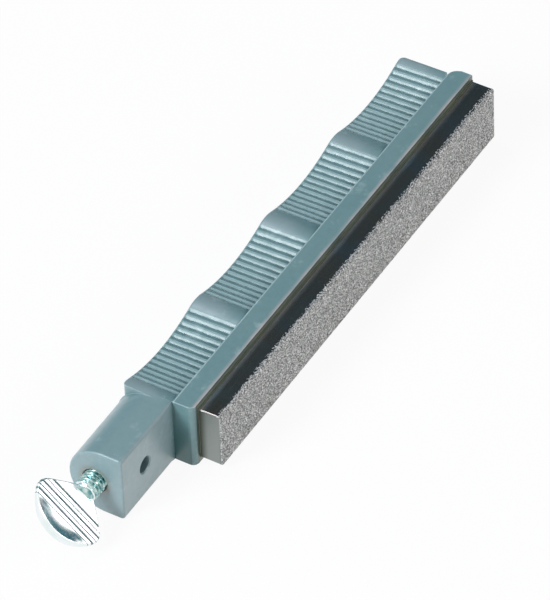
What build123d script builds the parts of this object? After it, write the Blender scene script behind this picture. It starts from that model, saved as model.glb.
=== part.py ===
"""Diamond sharpening stone for a guided knife sharpener.

A moulded plastic holder with finger hollows carries a plated steel bar with a diamond face.
A block at the holder's near end takes a guide rod, which a thumb screw clamps.

All sizes are in millimetres. The working frame has x = 0 at the bar's near end, y = 0 on the
diamond face and z = 0 at mid height. The finished frame has its origin at the bottom centre of
the whole object, with +X towards the far end, +Y from the diamond face to the grip and +Z up.
"""
from build123d import *
import math
import os

# Bar and diamond face
stone_length = 101.6
stone_height = 12.7
layer_thickness = 0.15
layer_wrap = 0.8
layer_edge_radius = 0.6
bar_back = 4.4
bar_back_edge_radius = 0.2

# Adhesive bed between the bar and the holder
bed_inset = 0.35

# Holder: the guard plate that carries the bar
plate_front = 4.6
plate_back = 9.0
plate_height = 15.0
plate_near = -2.0
plate_far_radius = 1.2
plate_edge_radius = 0.5

# Holder: the grip with its finger hollows
grip_near = -2.7
grip_far = 100.1
grip_back = 19.3
hollow_count = 4
hollow_pitch = 25.4
first_hollow = 10.4
hollow_depth = 2.15
crest_radius = 6.5
grip_corner_radius = 0.35
groove_count = 14
groove_pitch = 1.52
groove_width = 0.85
groove_depth = 0.4

# Holder: the end block
block_near = -19.9
block_back = 20.6
block_edge_radius = 0.6

# Guide rod hole across the block
rod_hole_x = -12.0
rod_hole_radius = 1.7

# Thumb screw and its bore
screw_axis_y = 15.0
screw_radius = 2.4
screw_clearance = 0.05
bore_chamfer = 0.35
bore_end_x = -13.0
screw_gap = 3.1
screw_tip_x = -14.2
screw_tip_chamfer = 0.5
head_length = 12.2
head_width = 14.4
head_thickness = 2.0
head_rim_radius = 0.4
head_turn = 40.0
neck_length = 3.2
neck_end_radius = 1.0
head_grooves = (3.4, 5.1, 6.9, 7.85)
head_groove_side = 0.35
head_groove_depth = 0.22

# Two places closer than this are the same place
same_place = 1e-6

half_plate = plate_height / 2
shoulder_x = block_near - screw_gap
from_bottom = (Align.CENTER, Align.CENTER, Align.MIN)


def box_between(low, high):
    """Return a box from its lowest corner to its highest corner."""
    size = [b - a for a, b in zip(low, high)]
    middle = [(a + b) / 2 for a, b in zip(low, high)]
    return Pos(*middle) * Box(*size)


def rounded_bar(grow, back, edge_radius):
    """Return the bar's block, larger by grow on its ends and sides, with a rounded front edge."""
    half = stone_height / 2 - layer_thickness + grow
    low = (layer_thickness - grow, layer_thickness - grow, -half)
    high = (stone_length - layer_thickness + grow, back, half)
    block = box_between(low, high)
    front = block.faces().sort_by(Axis.Y)[0]
    return fillet(front.edges(), edge_radius)


def make_bar():
    """Return the plated steel bar."""
    bar = rounded_bar(0.0, bar_back, layer_edge_radius - layer_thickness)
    rear = bar.faces().sort_by(Axis.Y)[-1]
    return fillet(rear.edges(), bar_back_edge_radius)


def make_diamond_layer(bar):
    """Return the diamond grit in its plating, on the front face and just round its edges."""
    return rounded_bar(layer_thickness, layer_wrap, layer_edge_radius) - bar


def make_adhesive_bed():
    """Return the thin bed that bonds the bar to the guard plate."""
    half = stone_height / 2 - bed_inset
    return box_between((bed_inset, bar_back, -half), (stone_length - bed_inset, plate_front, half))


def make_guard_plate():
    """Return the upright plate between the bar and the grip."""
    plate = box_between((plate_near, plate_front, -half_plate), (stone_length, plate_back, half_plate))
    far_edge = plate.edges().filter_by(Axis.Z).sort_by(lambda e: e.center().X + e.center().Y)[-1]
    plate = fillet(far_edge, plate_far_radius)
    front = plate.faces().sort_by(Axis.Y)[0]
    return fillet(front.edges(), plate_edge_radius)


def hollow_arc_radius():
    """Return the radius of a hollow that meets the rounded crests smoothly."""
    half_pitch = hollow_pitch / 2
    radii = (hollow_depth ** 2 + half_pitch ** 2) / (2 * hollow_depth)
    return radii - crest_radius


def hollow_edges(middle):
    """Return the edges of one hollow with its grooves, from near to far, on the grip's top side."""
    radius = hollow_arc_radius()
    centre_z = half_plate - hollow_depth + radius
    end_angle = math.asin(hollow_pitch / 2 / (radius + crest_radius))
    half_groove = groove_width / 2 / radius

    def at(angle, deeper=0.0):
        reach = radius + deeper
        return (middle + reach * math.sin(angle), 0, centre_z - reach * math.cos(angle))

    edges = []
    start = -end_angle
    for i in range(groove_count):
        angle = (i - (groove_count - 1) / 2) * groove_pitch / radius
        low, high = angle - half_groove, angle + half_groove
        edges.append(ThreePointArc(at(start), at((start + low) / 2), at(low)))
        edges.append(ThreePointArc(at(low), at(angle, groove_depth), at(high)))
        start = high
    edges.append(ThreePointArc(at(start), at((start + end_angle) / 2), at(end_angle)))
    return edges


def grip_top_edges():
    """Return the grip's top outline from its near corner to its far corner."""
    middles = [first_hollow + i * hollow_pitch for i in range(hollow_count)]
    edges = []
    for i, middle in enumerate(middles):
        hollow = hollow_edges(middle)
        near_crest = Vector(middle - hollow_pitch / 2, 0, half_plate)
        if i == 0:
            lean = math.asin((hollow[0] @ 0 - near_crest).X / crest_radius) / 2
            half_way = near_crest + Vector(math.sin(lean), 0, math.cos(lean) - 1) * crest_radius
            edges.append(Line((grip_near, 0, half_plate), near_crest))
            edges.append(ThreePointArc(near_crest, half_way, hollow[0] @ 0))
        else:
            edges.append(ThreePointArc(edges[-1] @ 1, near_crest, hollow[0] @ 0))
        edges += hollow
    last_crest = Vector(middles[-1] + hollow_pitch / 2, 0, half_plate)
    lean = math.asin((last_crest - edges[-1] @ 1).X / crest_radius) / 2
    half_way = last_crest + Vector(-math.sin(lean), 0, math.cos(lean) - 1) * crest_radius
    edges.append(ThreePointArc(edges[-1] @ 1, half_way, last_crest))
    edges.append(Line(last_crest, (grip_far, 0, half_plate)))
    return edges


def make_grip():
    """Return the grip, hollowed and grooved alike on its top and bottom sides."""
    top = grip_top_edges()
    bottom = [edge.mirror(Plane.XY) for edge in top]
    ends = [Line(top[0] @ 0, bottom[0] @ 0), Line(top[-1] @ 1, bottom[-1] @ 1)]
    outline = make_face(top + bottom + ends)
    grip = Pos(0, plate_back, 0) * extrude(outline, amount=grip_back - plate_back, dir=(0, 1, 0))
    half_length = (grip_far - grip_near) / 2
    middle = (grip_far + grip_near) / 2
    corners = grip.edges().filter_by(Axis.Y).filter_by(
        lambda e: abs(abs(e.center().Z) - half_plate) < same_place
        and abs(abs(e.center().X - middle) - half_length) < same_place
    )
    return fillet(corners, grip_corner_radius)


def make_block():
    """Return the end block, flat on three sides and half round towards the grip's back."""
    round_centre = block_back - half_plate
    with BuildSketch(Plane.YZ.offset(block_near)) as section:
        with BuildLine():
            Line((plate_back, -half_plate), (plate_back, half_plate))
            Line((plate_back, half_plate), (round_centre, half_plate))
            RadiusArc((round_centre, half_plate), (round_centre, -half_plate), half_plate)
            Line((round_centre, -half_plate), (plate_back, -half_plate))
        make_face()
    block = extrude(section.sketch, amount=plate_near - block_near)
    long_edges = block.edges().filter_by(Axis.X).filter_by(lambda e: e.center().Y < plate_back + same_place)
    block = fillet(long_edges, block_edge_radius)
    return fillet(block.faces().sort_by(Axis.X)[0].edges(), block_edge_radius)


def make_screw_bore():
    """Return the space of the thumb screw's bore, which just opens into the guide rod's hole."""
    radius = screw_radius + screw_clearance
    depth = bore_end_x - block_near
    bore = Cylinder(radius, depth, align=from_bottom)
    mouth = Cone(radius + bore_chamfer, radius, bore_chamfer, align=from_bottom)
    return Pos(block_near, screw_axis_y, 0) * Rot(0, 90, 0) * (bore + mouth)


def make_rod_hole():
    """Return the space of the guide rod's hole, right across the block."""
    length = 2 * (block_back - plate_back)
    hole = Rot(90, 0, 0) * Cylinder(rod_hole_radius, length)
    return Pos(rod_hole_x, (plate_back + block_back) / 2, 0) * hole


def make_holder():
    """Return the one moulded piece: guard plate, grip and end block with its two holes."""
    holder = make_guard_plate() + make_grip() + make_block()
    return holder - make_screw_bore() - make_rod_hole()


def make_head_plate():
    """Return the screw head's flat plate, lying in the XY plane with its neck end at x = 0."""
    outline = Ellipse(head_length / 2, head_width / 2)
    plate = Pos(-head_length / 2, 0, -head_thickness / 2) * extrude(outline, amount=head_thickness)
    plate = fillet(plate.edges(), head_rim_radius)
    for offset in head_grooves:
        for side in (-1, 1):
            groove = Rot(0, 45, 0) * Box(head_groove_side, head_width, head_groove_side)
            lift = head_groove_side / math.sqrt(2) - head_groove_depth
            plate -= Pos(-offset, 0, side * (head_thickness / 2 + lift)) * groove
    return plate


def make_thumb_screw():
    """Return the thumb screw: a round shank and a flat head for finger and thumb."""
    lay = Rot(0, 90, 0)
    shank_length = screw_tip_x - shoulder_x
    shank = Pos(shoulder_x, 0, 0) * lay * Cylinder(screw_radius, shank_length, align=from_bottom)
    shank = chamfer(shank.faces().sort_by(Axis.X)[-1].edges(), screw_tip_chamfer)
    neck = Cone(neck_end_radius, screw_radius, neck_length, align=from_bottom)
    neck = Pos(shoulder_x - neck_length, 0, 0) * lay * neck
    head = Pos(shoulder_x, 0, 0) * Rot(head_turn, 0, 0) * make_head_plate()
    return Pos(0, screw_axis_y, 0) * (shank + neck + head)


def main():
    """Write one STEP file for each piece."""
    bar = make_bar()
    pieces = {
        "holder": make_holder(),
        "adhesive_bed": make_adhesive_bed(),
        "steel_bar": bar,
        "diamond_layer": make_diamond_layer(bar),
        "thumb_screw": make_thumb_screw(),
    }
    whole = Compound(pieces.values()).bounding_box()
    to_frame = Location((-whole.center().X, -whole.center().Y, -whole.min.Z))
    print("working frame moved by", to_frame.position)
    os.makedirs("parts", exist_ok=True)
    for name, piece in pieces.items():
        export_step(to_frame * piece, f"parts/{name}.step")


main()
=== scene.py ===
"""Looks of the diamond sharpening stone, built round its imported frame.

The stone's own frame is in millimetres: x = 0 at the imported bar's near end, y = 0 on its diamond
face and z = 0 at mid height. StoneFrame places its points in the scene, which is in metres.
"""

import logging
import math
from collections.abc import Callable, Sequence
from dataclasses import dataclass, replace
from enum import Enum
from functools import partial

import bmesh
import bpy
import numpy as np
from mathutils import Matrix, Vector


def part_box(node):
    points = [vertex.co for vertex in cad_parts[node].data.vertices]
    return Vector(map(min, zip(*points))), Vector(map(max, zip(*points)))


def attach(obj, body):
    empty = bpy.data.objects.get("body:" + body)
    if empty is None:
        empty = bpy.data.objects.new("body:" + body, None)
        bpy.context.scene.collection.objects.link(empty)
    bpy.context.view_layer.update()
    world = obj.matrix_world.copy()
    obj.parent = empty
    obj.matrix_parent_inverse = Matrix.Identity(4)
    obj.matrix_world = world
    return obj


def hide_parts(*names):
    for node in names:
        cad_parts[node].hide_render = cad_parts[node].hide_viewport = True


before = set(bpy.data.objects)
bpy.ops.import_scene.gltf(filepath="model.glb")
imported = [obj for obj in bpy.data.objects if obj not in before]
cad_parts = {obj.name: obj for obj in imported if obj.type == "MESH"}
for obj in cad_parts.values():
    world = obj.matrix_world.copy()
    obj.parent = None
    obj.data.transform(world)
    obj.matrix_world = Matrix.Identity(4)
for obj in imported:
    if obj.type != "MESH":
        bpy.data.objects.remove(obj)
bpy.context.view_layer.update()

MM = 0.001
Node = bpy.types.Node
Socket = bpy.types.NodeSocket
Piece = bpy.types.Object
Adder = Callable[..., Node]
log = logging.getLogger("stone")


class Body(Enum):
    """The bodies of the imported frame."""

    HONE = "hone"
    SCREW = "screw"


class Slot(Enum):
    """The record's material slots."""

    PLASTIC = "moulded_plastic"
    ADHESIVE = "adhesive"
    NICKEL = "nickel_plated_steel"
    GRIT = "diamond_grit"
    ZINC = "zinc_plated_steel"


def linear(hex_colour: str) -> tuple[float, float, float, float]:
    """Turn an sRGB hex colour, such as "#8a908e", into linear RGBA."""
    values = [int(hex_colour[i:i + 2], 16) / 255 for i in (1, 3, 5)]
    return (*(v / 12.92 if v <= 0.04045 else ((v + 0.055) / 1.055) ** 2.4 for v in values), 1.0)


def scale(size_mm: float) -> float:
    """Return the scale that draws a pattern's cells at a size in millimetres."""
    return 1 / (size_mm * MM)


def smooth_step(low: float, high: float, value: np.ndarray | float) -> np.ndarray:
    """Return 0 below low, 1 above high and a smooth rise between them."""
    share = np.clip((np.asarray(value, float) - low) / (high - low), 0, 1)
    return share * share * (3 - 2 * share)


def smooth_max(first: np.ndarray, second: np.ndarray, blend: np.ndarray | float) -> np.ndarray:
    """Return the larger of two heights, rounded over where they are closer than the blend."""
    share = np.clip(0.5 + (first - second) / (2 * blend), 0, 1)
    return second + (first - second) * share + blend * share * (1 - share)


def quarter_turn(steps: int) -> np.ndarray:
    """Return the angles of a quarter turn in equal steps, in radians."""
    return np.radians(np.linspace(0, 90, steps + 1))


@dataclass(frozen=True)
class StoneFrame:
    """The stone's own frame in millimetres, placed in the scene.

    Attributes:
        zero: The scene point of the frame's zero, in metres.
    """

    zero: Vector

    @classmethod
    def from_diamond_layer(cls) -> "StoneFrame":
        """Read the frame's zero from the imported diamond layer."""
        low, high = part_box("diamond_layer")
        return cls(Vector((low.x, low.y, (low.z + high.z) / 2)))

    def place(self, points: np.ndarray | Sequence[float]) -> np.ndarray:
        """Return the scene places, in metres, of points in millimetres."""
        return np.asarray(points, float) * MM + np.array(self.zero)


def new_object(name: str, data: bpy.types.ID) -> Piece:
    """Put an object with the given data in the scene.

    Args:
        name: The object's name.
        data: Its mesh, light or camera.

    Returns:
        The object.
    """
    piece = bpy.data.objects.new(name, data)
    bpy.context.scene.collection.objects.link(piece)
    return piece


class Draft:
    """A mesh being drawn up in the stone's frame, in millimetres."""

    same_place = 1e-4

    def __init__(self) -> None:
        """Start with no points and no faces."""
        self.points: list[np.ndarray] = []
        self.faces: list[list[int]] = []
        self.count = 0

    def add(self, points: np.ndarray) -> np.ndarray:
        """Add points.

        Args:
            points: An array whose last axis holds x, y and z.

        Returns:
            The points' numbers, in the array's own shape.
        """
        flat = points.reshape(-1, 3)
        numbers = np.arange(self.count, self.count + len(flat)).reshape(points.shape[:-1])
        self.points.append(flat)
        self.count += len(flat)
        return numbers

    def skin(self, rows: np.ndarray, closed: bool = False) -> None:
        """Join neighbouring rows of points with faces.

        Args:
            rows: Point numbers, one row after another.
            closed: Whether each row's end joins its start.
        """
        rows = np.concatenate([rows, rows[:, :1]], axis=1) if closed else rows
        quads = np.stack([rows[:-1, :-1], rows[:-1, 1:], rows[1:, 1:], rows[1:, :-1]], axis=-1)
        for quad in quads.reshape(-1, 4).tolist():
            corners = list(dict.fromkeys(quad))
            if len(corners) > 2:
                self.faces.append(corners)

    def cap(self, loop: np.ndarray) -> None:
        """Close a loop of points with one flat face."""
        self.faces.append(list(dict.fromkeys(loop.tolist())))

    def tube(self, sections: np.ndarray) -> None:
        """Join closed sections, from one end to the other, and cap both ends.

        Args:
            sections: One section after another, each a loop of points.
        """
        rows = self.add(sections)
        self.skin(rows, closed=True)
        self.cap(rows[0])
        self.cap(rows[-1])

    def make(self, name: str, stone: StoneFrame) -> Piece:
        """Turn the draft into an object.

        Args:
            name: The object's name.
            stone: The frame that places the points.

        Returns:
            The object, with its faces turned outwards.
        """
        mesh = bpy.data.meshes.new(name)
        mesh.from_pydata(stone.place(np.concatenate(self.points)).tolist(), [], self.faces)
        work = bmesh.new()
        work.from_mesh(mesh)
        bmesh.ops.remove_doubles(work, verts=work.verts, dist=MM * self.same_place)
        bmesh.ops.recalc_face_normals(work, faces=work.faces)
        work.to_mesh(mesh)
        work.free()
        return new_object(name, mesh)


def rounded_box(
    name: str,
    low: Sequence[float],
    high: Sequence[float],
    rounds: Sequence[tuple[Callable[[Vector, Vector], bool], float]],
    stone: StoneFrame,
    steps: int = 5,
) -> Piece:
    """Make a box with rounded edges.

    Args:
        name: The object's name.
        low: The box's lowest corner.
        high: The box's highest corner.
        rounds: Pairs of a test on an edge's two ends, as -1 or 1 on each axis, and a radius.
        stone: The frame that places the points.
        steps: How many flats make up a rounding.

    Returns:
        The rounded box.
    """
    low, high = np.array(low, float), np.array(high, float)
    middle, half = stone.place((low + high) / 2), (high - low) / 2 * MM
    work = bmesh.new()
    bmesh.ops.create_cube(work, size=2)
    bmesh.ops.scale(work, vec=Vector(half), verts=work.verts)
    bmesh.ops.translate(work, vec=Vector(middle), verts=work.verts)

    def share(corner: bmesh.types.BMVert) -> Vector:
        """Return where a corner is between the box's middle and its sides."""
        return Vector(np.round((np.array(corner.co) - middle) / half, 4))

    for test, radius in rounds:
        edges = [e for e in work.edges if test(share(e.verts[0]), share(e.verts[1]))]
        bmesh.ops.bevel(work, geom=edges, offset=radius * MM, segments=steps, profile=0.5, affect="EDGES")
    mesh = bpy.data.meshes.new(name)
    work.to_mesh(mesh)
    work.free()
    return new_object(name, mesh)


def turned(
    name: str,
    profile: Sequence[tuple[float, float]],
    centre: Sequence[float],
    axis: int,
    stone: StoneFrame,
    sides: int = 96,
) -> Piece:
    """Make a closed turned solid.

    Args:
        name: The object's name.
        profile: Pairs of a place along the axis and a radius.
        centre: A point on the axis.
        axis: The axis's number, 0 for x and 1 for y.
        stone: The frame that places the points.
        sides: How many sides each ring has.

    Returns:
        The turned solid.
    """
    turn = np.linspace(0, 2 * math.pi, sides, endpoint=False)
    across = [i for i in range(3) if i != axis]
    rings = np.zeros((len(profile), sides, 3))
    for ring, (along, radius) in zip(rings, profile):
        ring[:, axis] = along
        ring[:, across[0]] = centre[across[0]] + radius * np.cos(turn)
        ring[:, across[1]] = centre[across[1]] + radius * np.sin(turn)
    draft = Draft()
    draft.tube(rings)
    return draft.make(name, stone)


def combine(piece: Piece, others: Sequence[Piece], how: str) -> None:
    """Join or cut a piece with others, and remove the others.

    Args:
        piece: The piece that is changed.
        others: The solids it is joined or cut with.
        how: "UNION" or "DIFFERENCE".
    """
    for other in others:
        step = piece.modifiers.new(how.lower(), "BOOLEAN")
        step.operation, step.solver, step.object = how, "EXACT", other
        bpy.context.view_layer.update()
        made = piece.evaluated_get(bpy.context.evaluated_depsgraph_get())
        mesh = bpy.data.meshes.new_from_object(made)
        piece.modifiers.clear()
        piece.data = mesh
        bpy.data.objects.remove(other)


def smooth(piece: Piece, sharp_degrees: float) -> None:
    """Shade a piece smooth, apart from its sharp edges, with flat faces kept flat.

    Args:
        piece: The piece.
        sharp_degrees: The turn from face to face above which an edge is sharp.
    """
    piece.data.shade_smooth()
    piece.data.set_sharp_from_angle(angle=math.radians(sharp_degrees))
    weigh = piece.modifiers.new("flat_faces", "WEIGHTED_NORMAL")
    weigh.keep_sharp = True


def add_node(tree: bpy.types.NodeTree, kind: str, settings: dict[str | int, object] | None = None) -> Node:
    """Add a shader node.

    Args:
        tree: The node tree.
        kind: The node's type after "ShaderNode", such as "TexNoise".
        settings: Values by a property's name, or by an input's name or number. An output, or a
            node that stands for its first live output, is linked to the input.

    Returns:
        The node.
    """
    node = tree.nodes.new("ShaderNode" + kind)
    for name, value in (settings or {}).items():
        if isinstance(name, str) and hasattr(node, name):
            setattr(node, name, value)
            continue
        live = [s for s in node.inputs if s.enabled and s.name == name]
        socket = live[0] if live else node.inputs[name]
        source = next(s for s in value.outputs if s.enabled) if isinstance(value, Node) else value
        if isinstance(source, Socket):
            tree.links.new(source, socket)
        else:
            socket.default_value = source
    return node


@dataclass(frozen=True)
class Ramp:
    """A share that changes while a value goes from a start to an end.

    Attributes:
        start: The value where the share starts to change.
        end: The value where it has changed.
        final: The share at the end and past it.
        first: The share at the start and before it.
        soft: Whether the change is eased in and out.
    """

    start: float
    end: float
    final: float = 1.0
    first: float = 0.0
    soft: bool = False

    def past(self, place: float) -> "Ramp":
        """Return the ramp over scene places, from millimetres past one of them."""
        return replace(self, start=place + self.start * MM, end=place + self.end * MM)

    def of(self, value: Node | Socket) -> dict[str | int, object]:
        """Return the settings of the node that maps a value through the ramp."""
        return {
            "interpolation_type": "SMOOTHSTEP" if self.soft else "LINEAR", "Value": value,
            "From Min": self.start, "From Max": self.end, "To Min": self.first, "To Max": self.final,
        }


@dataclass(frozen=True)
class Finish:
    """A finish, whose subclasses say how its surface looks."""

    name: str

    def make(self) -> bpy.types.Material:
        """Make the material.

        Returns:
            The material, with its surface's nodes.
        """
        material = bpy.data.materials.new(self.name)
        material.use_nodes = True
        tree = material.node_tree
        tree.nodes.clear()
        place = add_node(tree, "TexCoord").outputs["Object"]
        add_node(tree, "OutputMaterial", {"Surface": self.surface(partial(add_node, tree), place)})
        return material

    def surface(self, add: Adder, place: Socket) -> Node:
        """Add the surface's nodes.

        Args:
            add: Adds a node to the material's tree, with the kind and settings of add_node.
            place: The point in the scene's frame at rest, in metres.

        Returns:
            The surface's shader.
        """
        raise NotImplementedError


@dataclass(frozen=True)
class MouldedNylon(Finish):
    """Glass-filled nylon, injection moulded: satin, a little uneven, paler where it is scuffed.

    Painted shade darkens its grooves, its upward-facing inner corners and the low part of the plate's
    near end. Painted sheen lies on the block's upright faces and on the crests towards the back, and
    painted highlights on its convex edges and along the plate's back and front top edges. The plate's
    front is darkened with painted shade, darkest along its top and near edges, mixed with olive
    deposits, and a ragged brownish tint lies round the screw bore's mouth.

    Attributes:
        top: The height of the plate's top. This and the next four are scene places.
        near: The plate's near end.
        front: The plate's front.
        back: The plate's back.
        bore: The middle of the screw bore's mouth.
    """

    top: float
    near: float
    front: float
    back: float
    bore: tuple[float, float, float]
    body_colour: str = "#678c90"
    pale_colour: str = "#8ba6a9"
    # Paler colour where the plastic is scuffed, also used as a painted highlight on convex edges and along
    # the plate's back top edge.
    wear_and_highlight_colour: str = "#bcd6d8"
    # Dark colour of the random mottle, also used as painted shade in grooves and inner corners.
    dark_tone_and_shade_colour: str = "#335a5c"
    # Painted sheen: paler on the block's upright faces and on the crests towards the back.
    sheen_colour: str = "#b3bec4"
    # Painted shade on the low part of the plate's near end.
    painted_low_colour: str = "#2f6668"
    # Painted highlight along the plate's front top edge, in patches.
    front_highlight_colour: str = "#c4b9b6"
    # Painted shade on the plate's front face, with a painted shadow line along its top and near edges; the
    # olive colour below is mixed in as deposits.
    front_shade_colour: str = "#1f2923"
    residue_colour: str = "#666b55"
    # A ragged brownish tint round the screw bore's mouth.
    bore_ring_colour: str = "#8b7a62"
    gloss: Ramp = Ramp(0.3, 0.7, 0.42, 0.31)
    skin: float = 0.65
    skin_roughness: float = 0.4
    flow_mm: float = 24.0
    mottle_mm: float = 1.2
    grain_mm: float = 0.3
    scuff_mm: float = 3.5
    patch_mm: float = 7.0
    edge_mm: float = 0.35
    groove_mm: float = 0.9
    corner_mm: float = 4.5
    # Painted highlight: a thin light line along the plate's back top edge, on the crests.
    back_highlight_mm: float = 0.15
    back_highlight_strength: float = 1.8
    near_end_mm: float = 0.1
    bore_ring_ragged_mm: float = 1.2

    clouds: Ramp = Ramp(0.3, 0.7, 0.22)
    spots: Ramp = Ramp(0.4, 0.75, 0.16)
    scuffs: Ramp = Ramp(0.58, 0.72, 0.3)
    # Painted highlight on convex edges, from the inside occlusion, mixed with the scuffs' wear.
    edge_highlight: Ramp = Ramp(0.76, 0.45, 0.75)
    # Painted shade in grooves and in upward-facing inner corners, from ambient occlusion.
    groove_shade: Ramp = Ramp(0.9, 0.4, 0.9)
    corner_shade: Ramp = Ramp(0.9, 0.5, 0.6)
    patches: Ramp = Ramp(0.35, 0.62, 1.0, 0.3)
    # Painted sheen on the block, stronger on upright faces than on its top.
    sheen_by_slope: Ramp = Ramp(0.2, 0.9, 0.12, 0.3)
    crest_below_top: Ramp = Ramp(-0.7, 0.0, 0.3)
    grip_past_back: Ramp = Ramp(0.0, 5.0)
    block_past_near: Ramp = Ramp(0.0, -2.0)
    # Painted highlight on the plate's top within this distance of its front.
    highlight_past_front: Ramp = Ramp(0.9, 0.0, 0.7, soft=True)
    low_below_top: Ramp = Ramp(-0.5, -10.0, soft=True)
    # The plate's front face, painted with shade and olive deposits, and a painted shadow line along its top
    # and near edges.
    shade_and_residue_past_front: Ramp = Ramp(0.04, 0.015, 0.88)
    shade_below_top: Ramp = Ramp(-0.6, -0.3)
    shade_past_near: Ramp = Ramp(1.45, 1.15)
    bore_ring_mm: Ramp = Ramp(4.5, 3.1, 0.55)

    def surface(self, add: Adder, place: Socket) -> Node:
        """Add flow clouds, scuffs, mottle, painted shade, painted sheen, painted highlights, olive deposits
        and the tint at the bore.

        Args:
            add: Adds a node to the material's tree.
            place: The point in the scene's frame at rest, in metres.

        Returns:
            The surface's shader.
        """
        flow, mottle, grain, scratches, blotches = (
            add("TexNoise", {"Scale": scale(mm), "Detail": detail, "Roughness": rough, "Vector": place})
            for mm, detail, rough in (
                (self.flow_mm, 2.0, 0.5), (self.mottle_mm, 3.0, 0.5), (self.grain_mm, 2.0, 0.5),
                (self.scuff_mm, 5.0, 0.65), (self.patch_mm, 2.0, 0.5),
            )
        )
        solid, open_air, corner_air = (
            add("AmbientOcclusion", {"samples": 6, "only_local": True, "inside": inside, "Distance": mm * MM})
            .outputs["AO"]
            for mm, inside in ((self.edge_mm, True), (self.groove_mm, False), (self.corner_mm, False))
        )
        away = add("SeparateXYZ", {0: place}).outputs
        facing = add("SeparateXYZ", {0: add("NewGeometry").outputs["Normal"]}).outputs
        (
            cloudy, spotted, edges, scuffed, in_shaded_groove, in_shaded_corner, sloped, patchy,
            crest, behind, on_block, by_bar, low_down, on_front, at_top, at_end,
        ) = (
            add("MapRange", ramp.of(value))
            for ramp, value in (
                (self.clouds, flow), (self.spots, mottle), (self.edge_highlight, solid),
                (self.scuffs, scratches), (self.groove_shade, open_air), (self.corner_shade, corner_air),
                (self.sheen_by_slope, facing["Z"]), (self.patches, blotches),
                (self.crest_below_top.past(self.top), away["Z"]),
                (self.grip_past_back.past(self.back), away["Y"]),
                (self.block_past_near.past(self.near), away["X"]),
                (self.highlight_past_front.past(self.front), away["Y"]),
                (self.low_below_top.past(self.top), away["Z"]),
                (self.shade_and_residue_past_front.past(self.front), away["Y"]),
                (self.shade_below_top.past(self.top), away["Z"]),
                (self.shade_past_near.past(self.near), away["X"]),
            )
        )
        # Painted highlight: a light line along the plate's back top edge, added to the scuffs, then the
        # painted highlight on convex edges.
        line = self.back_highlight_mm * MM
        on_back_edge = add("Math", {"operation": "COMPARE", 0: away["Y"], 1: self.back - line, 2: line})
        back_highlight = add("Math", {"operation": "MULTIPLY", 0: on_back_edge, 1: crest})
        scuffs_and_back_highlight = add("Math", {
            "operation": "MULTIPLY_ADD", "use_clamp": True,
            0: back_highlight, 1: self.back_highlight_strength, 2: scuffed,
        })
        wear_and_edge_highlight = add("Math", {"operation": "MAXIMUM", 0: scuffs_and_back_highlight, 1: edges})
        # Painted shade, darkest in grooves and in upward-facing inner corners.
        shade_on_upward_corners = add("Math", {"operation": "MULTIPLY", "use_clamp": True, 0: in_shaded_corner, 1: facing["Z"]})
        groove_and_corner_shade = add("Math", {"operation": "MAXIMUM", 0: in_shaded_groove, 1: shade_on_upward_corners})
        # Painted sheen on the block's upright faces and on the crests towards the back.
        block_sheen = add("Math", {"operation": "MULTIPLY", 0: on_block, 1: sloped})
        crest_sheen = add("Math", {"operation": "MULTIPLY", 0: crest, 1: behind})
        off_block = add("Math", {"operation": "SUBTRACT", 0: 1.0, 1: on_block})
        painted_sheen = add("Math", {"operation": "MULTIPLY_ADD", 0: crest_sheen, 1: off_block, 2: block_sheen})
        # Painted shade: the plate's near end face darker towards the bottom.
        near_end = add("Math", {
            "operation": "COMPARE", 0: away["X"], 1: self.near, 2: self.near_end_mm * MM,
        })
        low_end_shade = add("Math", {"operation": "MULTIPLY", 0: near_end, 1: low_down})
        # Painted highlight on the plate's top along its front edge, in patches.
        on_top = add("Math", {"operation": "MULTIPLY", "use_clamp": True, 0: by_bar, 1: facing["Z"]})
        front_highlight = add("Math", {"operation": "MULTIPLY", 0: on_top, 1: patchy})
        # Painted shade on the plate's front face: a painted shadow line along its top and near edges, and
        # elsewhere dark shade mixed with olive deposits in patches.
        shade_line = add("Math", {"operation": "MAXIMUM", 0: at_top, 1: at_end})
        clear = add("Math", {"operation": "SUBTRACT", "use_clamp": True, 0: patchy, 1: shade_line})
        shade_and_residue = add("Mix", {
            "data_type": "RGBA", "Factor": clear,
            "A": linear(self.front_shade_colour), "B": linear(self.residue_colour),
        })
        # A ragged brownish tint round the screw bore's mouth, strongest close to it.
        reach = add("VectorMath", {"operation": "DISTANCE", 0: place, 1: self.bore})
        ragged = add("Math", {
            "operation": "MULTIPLY_ADD", 0: mottle, 1: self.bore_ring_ragged_mm * MM, 2: reach,
        })
        bore_ring = add("MapRange", self.bore_ring_mm.past(0.0).of(ragged))
        tone = linear(self.body_colour)
        for coat, share in (
            (linear(self.pale_colour), cloudy), (linear(self.dark_tone_and_shade_colour), spotted),
            (linear(self.wear_and_highlight_colour), wear_and_edge_highlight), (linear(self.dark_tone_and_shade_colour), groove_and_corner_shade),
            (linear(self.sheen_colour), painted_sheen), (linear(self.painted_low_colour), low_end_shade),
            (linear(self.front_highlight_colour), front_highlight), (shade_and_residue, on_front), (linear(self.bore_ring_colour), bore_ring),
        ):
            tone = add("Mix", {"data_type": "RGBA", "Factor": share, "A": tone, "B": coat})
        fine = add("Bump", {"Strength": 0.25, "Distance": 0.03 * MM, "Height": grain})
        uneven = add("Bump", {"Strength": 0.1, "Distance": 0.06 * MM, "Height": mottle, "Normal": fine})
        return add("BsdfPrincipled", {
            "IOR": 1.53, "Coat Weight": self.skin, "Coat Roughness": self.skin_roughness,
            "Base Color": tone, "Roughness": add("MapRange", self.gloss.of(mottle)), "Normal": uneven,
        })


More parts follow.
